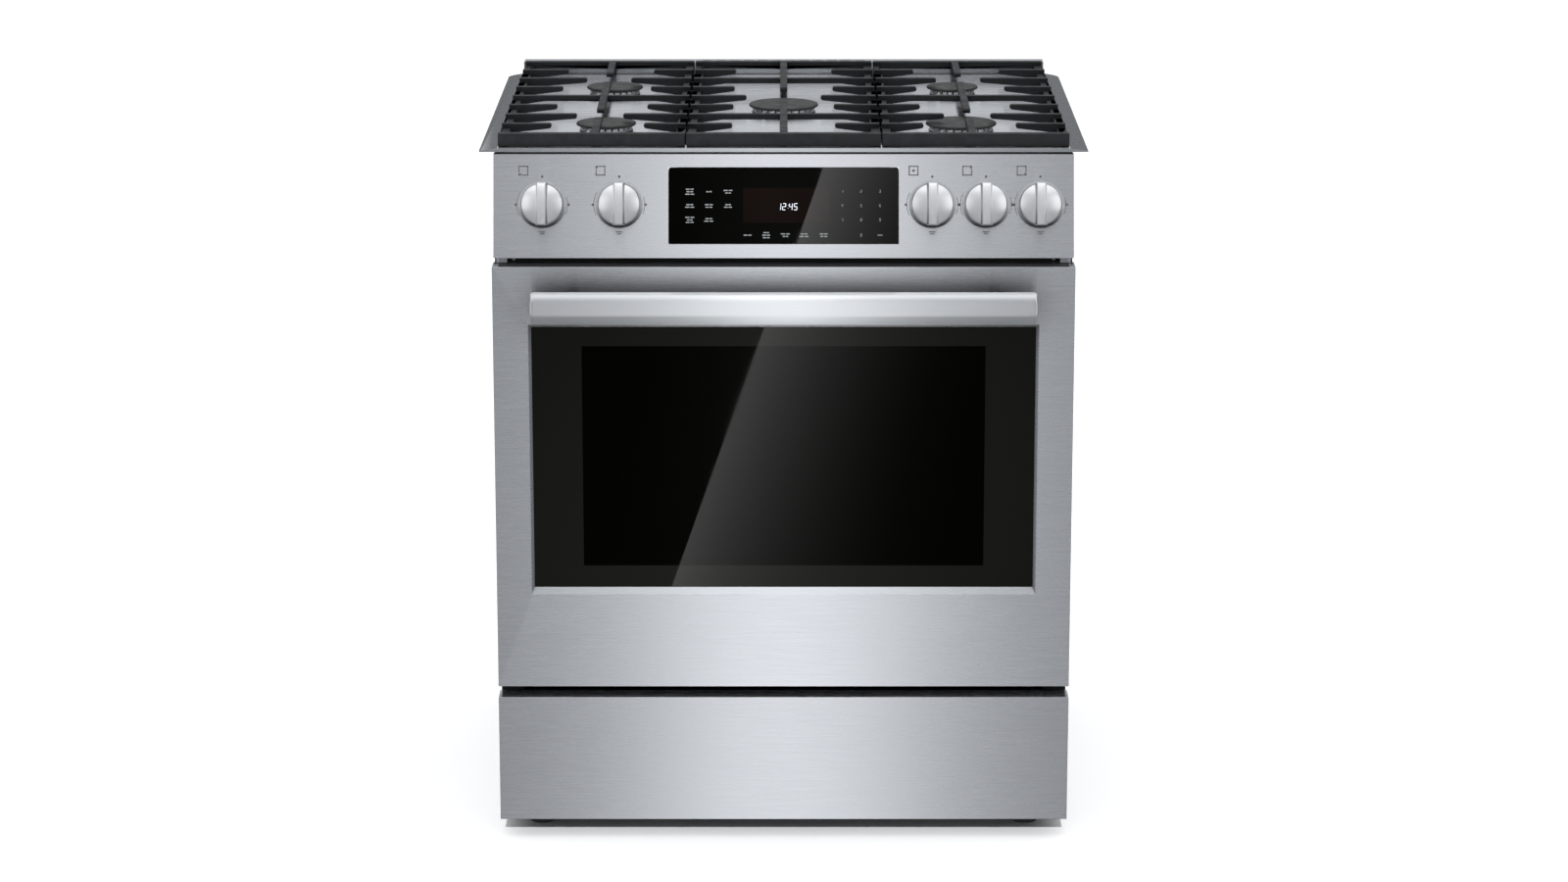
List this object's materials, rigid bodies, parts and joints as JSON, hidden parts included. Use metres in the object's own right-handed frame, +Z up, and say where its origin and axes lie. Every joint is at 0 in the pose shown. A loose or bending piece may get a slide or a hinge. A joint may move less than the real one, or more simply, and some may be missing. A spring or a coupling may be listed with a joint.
{
  "type": "freestanding gas range",
  "caption": "Stainless gas range with sealed burners under cast grates, a sloping knob panel with a display, a windowed oven door and a storage drawer.",
  "frame": {"origin": "middle of the overall footprint, on the floor", "axes": "+X to the right seen from the front, +Y to the back, +Z up; the door faces -Y"},
  "size_m": [0.795, 0.771, 0.946],
  "materials": {
    "stainless_panel": "brushed along its length",
    "stainless_cooktop": "brushed, satin",
    "handle_steel": "fine brushed, satin",
    "bezel_steel": "satin",
    "knob_metal": "brushed, satin",
    "frame_black": "satin black",
    "chassis_paint": "satin dark grey",
    "galvanised": "galvanised, dull",
    "cavity_enamel": "speckled vitreous enamel, gloss",
    "burner_enamel": "matte enamel",
    "grate_iron": "enamelled casting, matte",
    "cap_iron": "enamelled casting, satin",
    "burner_aluminium": "cast and machined",
    "display_black": "gloss",
    "window_black": "gloss, printed border",
    "pane_glass": "clear",
    "lamp_glass": "frosted",
    "rack_chrome": "plated wire",
    "valve_brass": "machined",
    "pipe_steel": "drawn tube, dull",
    "motor_paint": "satin",
    "gasket_fibre": "braided glass fibre",
    "wool": "matte glass wool",
    "board_plastic": "matte",
    "ceramic_white": "ceramic",
    "foot_black": "matte",
    "screw_steel": "zinc plated"
  },
  "bodies": {
    "chassis": {"base_frame": "frame_black", "levelling_feet": "foot_black", "side_panel_left": "chassis_paint", "side_panel_right": "chassis_paint", "rear_panel": "galvanised", "front_frame": "frame_black", "oven_cavity": "cavity_enamel", "oven_floor": "cavity_enamel", "oven_insulation": "wool", "door_gasket": "gasket_fibre", "bake_burner": "pipe_steel", "broil_burner": "pipe_steel", "fan_cover": "cavity_enamel", "fan_motor": "motor_paint", "oven_lamps": "lamp_glass", "hinge_claws": "galvanised", "drawer_rails": "galvanised", "cooktop": "stainless_cooktop", "rear_vent_trim": "stainless_cooktop", "control_panel": "stainless_panel", "display_glass": "display_black", "control_board": "board_plastic", "knob_bezels": "bezel_steel", "gas_manifold": "pipe_steel", "gas_valves": "burner_aluminium", "burner_heads": "burner_aluminium", "burner_bases": "burner_enamel", "igniters": "ceramic_white", "cord_gland": "foot_black", "body_screws": "screw_steel"},
    "door": {"door_skin": "stainless_panel", "door_glass_outer": "window_black", "door_glass_inner": "pane_glass", "door_liner": "cavity_enamel", "handle_bar": "handle_steel", "handle_posts": "handle_steel", "door_hinges": "galvanised"},
    "drawer": {"drawer_front": "stainless_panel", "drawer_box": "chassis_paint"},
    "rack_lower": {"oven_rack_lower": "rack_chrome"},
    "rack_upper": {"oven_rack_upper": "rack_chrome"},
    "fan": {"fan_blade": "galvanised"},
    "left_grate": {"grate_left": "grate_iron"},
    "centre_grate": {"grate_centre": "grate_iron"},
    "right_grate": {"grate_right": "grate_iron"},
    "left_front_cap": {"burner_cap_left_front": "cap_iron"},
    "left_rear_cap": {"burner_cap_left_rear": "cap_iron"},
    "centre_cap": {"burner_cap_centre": "cap_iron"},
    "right_rear_cap": {"burner_cap_right_rear": "cap_iron"},
    "right_front_cap": {"burner_cap_right_front": "cap_iron"},
    "left_front_rotor": {"valve_rotor_left_front": "valve_brass"},
    "left_front_knob": {"knob_left_front": "knob_metal"},
    "left_rear_rotor": {"valve_rotor_left_rear": "valve_brass"},
    "left_rear_knob": {"knob_left_rear": "knob_metal"},
    "centre_rotor": {"valve_rotor_centre": "valve_brass"},
    "centre_knob": {"knob_centre": "knob_metal"},
    "right_rear_rotor": {"valve_rotor_right_rear": "valve_brass"},
    "right_rear_knob": {"knob_right_rear": "knob_metal"},
    "right_front_rotor": {"valve_rotor_right_front": "valve_brass"},
    "right_front_knob": {"knob_right_front": "knob_metal"}
  },
  "joints": [
    {"name": "door_hinge", "type": "hinge", "parent": "chassis", "child": "door", "pos_m": [0, -0.3115, 0.223], "axis": [1, 0, 0], "range_deg": [0, 90], "stiffness_Nm_per_rad": 15, "springref_deg": -11.46},
    {"name": "drawer_slide", "type": "slide", "parent": "chassis", "child": "drawer", "axis": [0, -1, 0], "range_m": [0, 0.38]},
    {"name": "rack_lower_slide", "type": "slide", "parent": "chassis", "child": "rack_lower", "axis": [0, -1, 0], "range_m": [0, 0.27]},
    {"name": "rack_upper_slide", "type": "slide", "parent": "chassis", "child": "rack_upper", "axis": [0, -1, 0], "range_m": [0, 0.27]},
    {"name": "fan_spin", "type": "hinge", "parent": "chassis", "child": "fan", "pos_m": [0, 0.17, 0.475], "axis": [0, 1, 0], "continuous": true},
    {"name": "left_grate_lift", "type": "slide", "parent": "chassis", "child": "left_grate", "axis": [0, 0, 1], "range_m": [0, 0.15]},
    {"name": "centre_grate_lift", "type": "slide", "parent": "chassis", "child": "centre_grate", "axis": [0, 0, 1], "range_m": [0, 0.15]},
    {"name": "right_grate_lift", "type": "slide", "parent": "chassis", "child": "right_grate", "axis": [0, 0, 1], "range_m": [0, 0.15]},
    {"name": "left_front_cap_lift", "type": "slide", "parent": "chassis", "child": "left_front_cap", "axis": [0, 0, 1], "range_m": [0, 0.06]},
    {"name": "left_rear_cap_lift", "type": "slide", "parent": "chassis", "child": "left_rear_cap", "axis": [0, 0, 1], "range_m": [0, 0.06]},
    {"name": "centre_cap_lift", "type": "slide", "parent": "chassis", "child": "centre_cap", "axis": [0, 0, 1], "range_m": [0, 0.06]},
    {"name": "right_rear_cap_lift", "type": "slide", "parent": "chassis", "child": "right_rear_cap", "axis": [0, 0, 1], "range_m": [0, 0.06]},
    {"name": "right_front_cap_lift", "type": "slide", "parent": "chassis", "child": "right_front_cap", "axis": [0, 0, 1], "range_m": [0, 0.06]},
    {"name": "left_front_knob_turn", "type": "hinge", "parent": "chassis", "child": "left_front_rotor", "pos_m": [-0.315, -0.29187, 0.85569], "axis": [0, -0.9711, 0.2385], "range_deg": [0, 270]},
    {"name": "left_front_knob_push", "type": "slide", "parent": "left_front_rotor", "child": "left_front_knob", "axis": [0, 0.9711, -0.2385], "range_m": [0, 0.003], "stiffness_N_per_m": 1200, "springref_m": -0.003},
    {"name": "left_rear_knob_turn", "type": "hinge", "parent": "chassis", "child": "left_rear_rotor", "pos_m": [-0.2145, -0.29187, 0.85569], "axis": [0, -0.9711, 0.2385], "range_deg": [0, 270]},
    {"name": "left_rear_knob_push", "type": "slide", "parent": "left_rear_rotor", "child": "left_rear_knob", "axis": [0, 0.9711, -0.2385], "range_m": [0, 0.003], "stiffness_N_per_m": 1200, "springref_m": -0.003},
    {"name": "centre_knob_turn", "type": "hinge", "parent": "chassis", "child": "centre_rotor", "pos_m": [0.194, -0.29187, 0.85569], "axis": [0, -0.9711, 0.2385], "range_deg": [0, 270]},
    {"name": "centre_knob_push", "type": "slide", "parent": "centre_rotor", "child": "centre_knob", "axis": [0, 0.9711, -0.2385], "range_m": [0, 0.003], "stiffness_N_per_m": 1200, "springref_m": -0.003},
    {"name": "right_rear_knob_turn", "type": "hinge", "parent": "chassis", "child": "right_rear_rotor", "pos_m": [0.264, -0.29187, 0.85569], "axis": [0, -0.9711, 0.2385], "range_deg": [0, 270]},
    {"name": "right_rear_knob_push", "type": "slide", "parent": "right_rear_rotor", "child": "right_rear_knob", "axis": [0, 0.9711, -0.2385], "range_m": [0, 0.003], "stiffness_N_per_m": 1200, "springref_m": -0.003},
    {"name": "right_front_knob_turn", "type": "hinge", "parent": "chassis", "child": "right_front_rotor", "pos_m": [0.335, -0.29187, 0.85569], "axis": [0, -0.9711, 0.2385], "range_deg": [0, 270]},
    {"name": "right_front_knob_push", "type": "slide", "parent": "right_front_rotor", "child": "right_front_knob", "axis": [0, 0.9711, -0.2385], "range_m": [0, 0.003], "stiffness_N_per_m": 1200, "springref_m": -0.003}
  ],
  "couplings": [
    {"joint": "rack_lower_slide", "follows": "door_hinge", "m_per_rad": 0.17},
    {"joint": "rack_upper_slide", "follows": "door_hinge", "m_per_rad": 0.17},
    {"joint": "left_front_cap_lift", "follows": "left_grate_lift", "ratio": 0.4},
    {"joint": "left_rear_cap_lift", "follows": "left_grate_lift", "ratio": 0.4},
    {"joint": "centre_cap_lift", "follows": "centre_grate_lift", "ratio": 0.4},
    {"joint": "right_rear_cap_lift", "follows": "right_grate_lift", "ratio": 0.4},
    {"joint": "right_front_cap_lift", "follows": "right_grate_lift", "ratio": 0.4}
  ]
}
